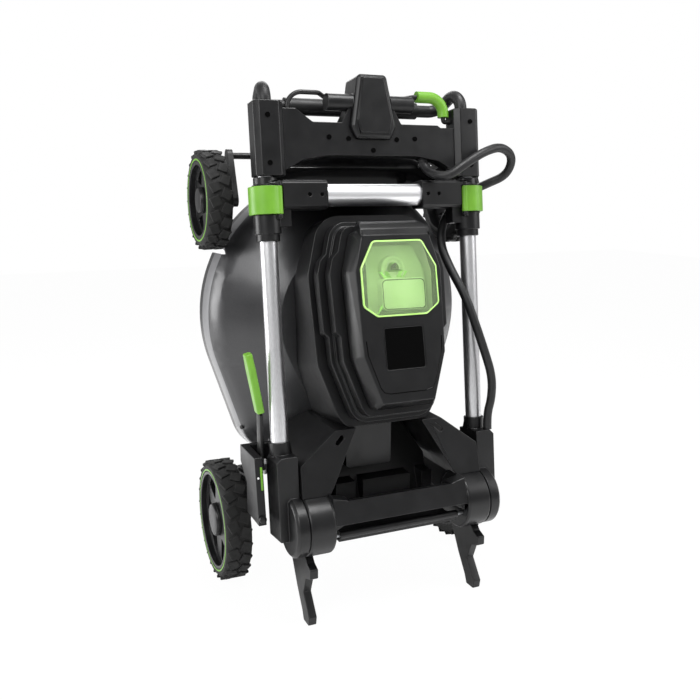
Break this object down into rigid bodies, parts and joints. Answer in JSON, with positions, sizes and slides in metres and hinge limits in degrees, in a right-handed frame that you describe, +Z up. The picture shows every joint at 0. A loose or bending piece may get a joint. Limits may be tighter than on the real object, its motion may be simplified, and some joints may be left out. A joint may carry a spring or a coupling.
{
  "type": "push lawn mower",
  "caption": "Battery push mower stored upright on its tail, with round deck, battery housing under a hinged lid, folding telescoping handle, crank axles, wheels and rear chute.",
  "frame": {"origin": "middle of the footprint on the floor, in the upright storage stance", "axes": "+X to the mower's right, +Y towards the deck's underside, +Z up, which is forward when mowing"},
  "size_m": [0.5601, 0.3974, 0.9305],
  "materials": {
    "deck_paint": "metallic grey paint",
    "black_plastic": "moulded, fine grain",
    "gloss_black": "polished moulding",
    "green_plastic": "moulded, satin",
    "window_plastic": "clear green moulding",
    "tube_aluminium": "brushed",
    "plain_steel": "zinc plated",
    "black_steel": "black painted",
    "grey_plastic": "moulded, satin",
    "tyre_rubber": "moulded tread",
    "soft_rubber": "soft grip"
  },
  "bodies": {
    "deck": {"deck_shell": "deck_paint", "front_hood": "gloss_black", "discharge_chute": "black_plastic", "motor_housing": "black_plastic", "battery_bay": "black_plastic", "battery_pack": "grey_plastic", "motor_stator": "plain_steel", "rear_frame": "black_plastic", "left_cheek": "black_plastic", "right_cheek": "black_plastic", "left_storage_foot": "black_plastic", "right_storage_foot": "black_plastic", "hinge_pins": "plain_steel", "height_quadrant": "black_plastic"},
    "rear_axle_assembly": {"rear_axle": "black_steel", "height_lever": "black_steel", "height_lever_grip": "green_plastic"},
    "front_axle_assembly": {"front_axle": "black_steel"},
    "blade_assembly": {"motor_rotor": "plain_steel", "blade_adapter": "plain_steel", "blade": "black_steel", "blade_bolt": "plain_steel"},
    "lid_assembly": {"battery_lid": "black_plastic", "lid_window": "window_plastic"},
    "flap": {"rear_flap": "black_plastic"},
    "handle_lower": {"left_handle_bracket": "black_plastic", "right_handle_bracket": "black_plastic", "left_lower_tube": "tube_aluminium", "right_lower_tube": "tube_aluminium", "left_tube_clamp": "black_plastic", "right_tube_clamp": "black_plastic", "crossbar": "tube_aluminium", "flip_lever_pins": "plain_steel", "power_cable": "soft_rubber"},
    "handle_upper": {"left_upper_tube": "tube_aluminium", "right_upper_tube": "tube_aluminium", "left_console_column": "black_plastic", "right_console_column": "black_plastic", "console_web": "black_plastic", "switch_box": "black_plastic", "grip_tube": "soft_rubber", "grip_sleeve": "soft_rubber", "cable_boot": "soft_rubber"},
    "left_lock": {"left_flip_lever": "green_plastic"},
    "right_lock": {"right_flip_lever": "green_plastic"},
    "bail": {"bail_rod": "black_steel", "bail_sleeve": "green_plastic"},
    "button": {"start_button": "green_plastic"},
    "front_left_wheel": {"front_left_tyre": "tyre_rubber", "front_left_rim": "black_plastic", "front_left_hub_cap": "gloss_black"},
    "front_right_wheel": {"front_right_tyre": "tyre_rubber", "front_right_rim": "black_plastic", "front_right_hub_cap": "gloss_black"},
    "rear_left_wheel": {"rear_left_tyre": "tyre_rubber", "rear_left_rim": "black_plastic", "rear_left_hub_cap": "gloss_black"},
    "rear_right_wheel": {"rear_right_tyre": "tyre_rubber", "rear_right_rim": "black_plastic", "rear_right_hub_cap": "gloss_black"}
  },
  "joints": [
    {"name": "height_adjust", "type": "hinge", "parent": "deck", "child": "rear_axle_assembly", "pos_m": [0, 0.11331, 0.19437], "axis": [1, 0, 0], "range_deg": [0, 40]},
    {"name": "front_height", "type": "hinge", "parent": "deck", "child": "front_axle_assembly", "pos_m": [0, 0.13881, 0.79737], "axis": [1, 0, 0], "range_deg": [0, 40]},
    {"name": "blade_spin", "type": "hinge", "parent": "deck", "child": "blade_assembly", "pos_m": [0, 0.07874, 0.4995], "axis": [0, 1, 0], "continuous": true},
    {"name": "lid_hinge", "type": "hinge", "parent": "deck", "child": "lid_assembly", "pos_m": [0, -0.10359, 0.6788], "axis": [-1, 0, 0], "range_deg": [0, 85]},
    {"name": "flap_hinge", "type": "hinge", "parent": "deck", "child": "flap", "pos_m": [0, -0.16726, 0.1585], "axis": [-1, 0, 0], "range_deg": [0, 80], "stiffness_Nm_per_rad": 0.6, "springref_deg": -57.3},
    {"name": "handle_fold", "type": "hinge", "parent": "deck", "child": "handle_lower", "pos_m": [0, -0.13826, 0.1745], "axis": [1, 0, 0], "range_deg": [0, 130]},
    {"name": "handle_telescope", "type": "slide", "parent": "handle_lower", "child": "handle_upper", "axis": [0, 0.1144, 0.9934], "range_m": [0, 0.3], "deforming": ["power_cable"]},
    {"name": "left_lock_hinge", "type": "hinge", "parent": "handle_lower", "child": "left_lock", "pos_m": [-0.17819, -0.06566, 0.72078], "axis": [0, 0.1144, 0.9934], "range_deg": [0, 90]},
    {"name": "right_lock_hinge", "type": "hinge", "parent": "handle_lower", "child": "right_lock", "pos_m": [0.17819, -0.06566, 0.72078], "axis": [0, -0.1144, -0.9934], "range_deg": [0, 90]},
    {"name": "bail_pivot", "type": "hinge", "parent": "handle_upper", "child": "bail", "pos_m": [0, -0.02951, 0.85654], "axis": [-1, 0, 0], "range_deg": [0, 12], "stiffness_Nm_per_rad": 0.6, "springref_deg": -22.92},
    {"name": "button_press", "type": "slide", "parent": "handle_upper", "child": "button", "axis": [0, -0.9934, 0.1144], "range_m": [0, 0.0045], "stiffness_N_per_m": 300, "springref_m": -0.002},
    {"name": "front_left_wheel_spin", "type": "hinge", "parent": "front_axle_assembly", "child": "front_left_wheel", "pos_m": [-0.25, 0.10974, 0.7175], "axis": [1, 0, 0], "continuous": true},
    {"name": "front_right_wheel_spin", "type": "hinge", "parent": "front_axle_assembly", "child": "front_right_wheel", "pos_m": [0.25, 0.10974, 0.7175], "axis": [1, 0, 0], "continuous": true},
    {"name": "rear_left_wheel_spin", "type": "hinge", "parent": "rear_axle_assembly", "child": "rear_left_wheel", "pos_m": [-0.25, 0.08424, 0.1145], "axis": [1, 0, 0], "continuous": true},
    {"name": "rear_right_wheel_spin", "type": "hinge", "parent": "rear_axle_assembly", "child": "rear_right_wheel", "pos_m": [0.25, 0.08424, 0.1145], "axis": [1, 0, 0], "continuous": true}
  ],
  "couplings": [
    {"joint": "front_height", "follows": "height_adjust", "ratio": 1}
  ]
}
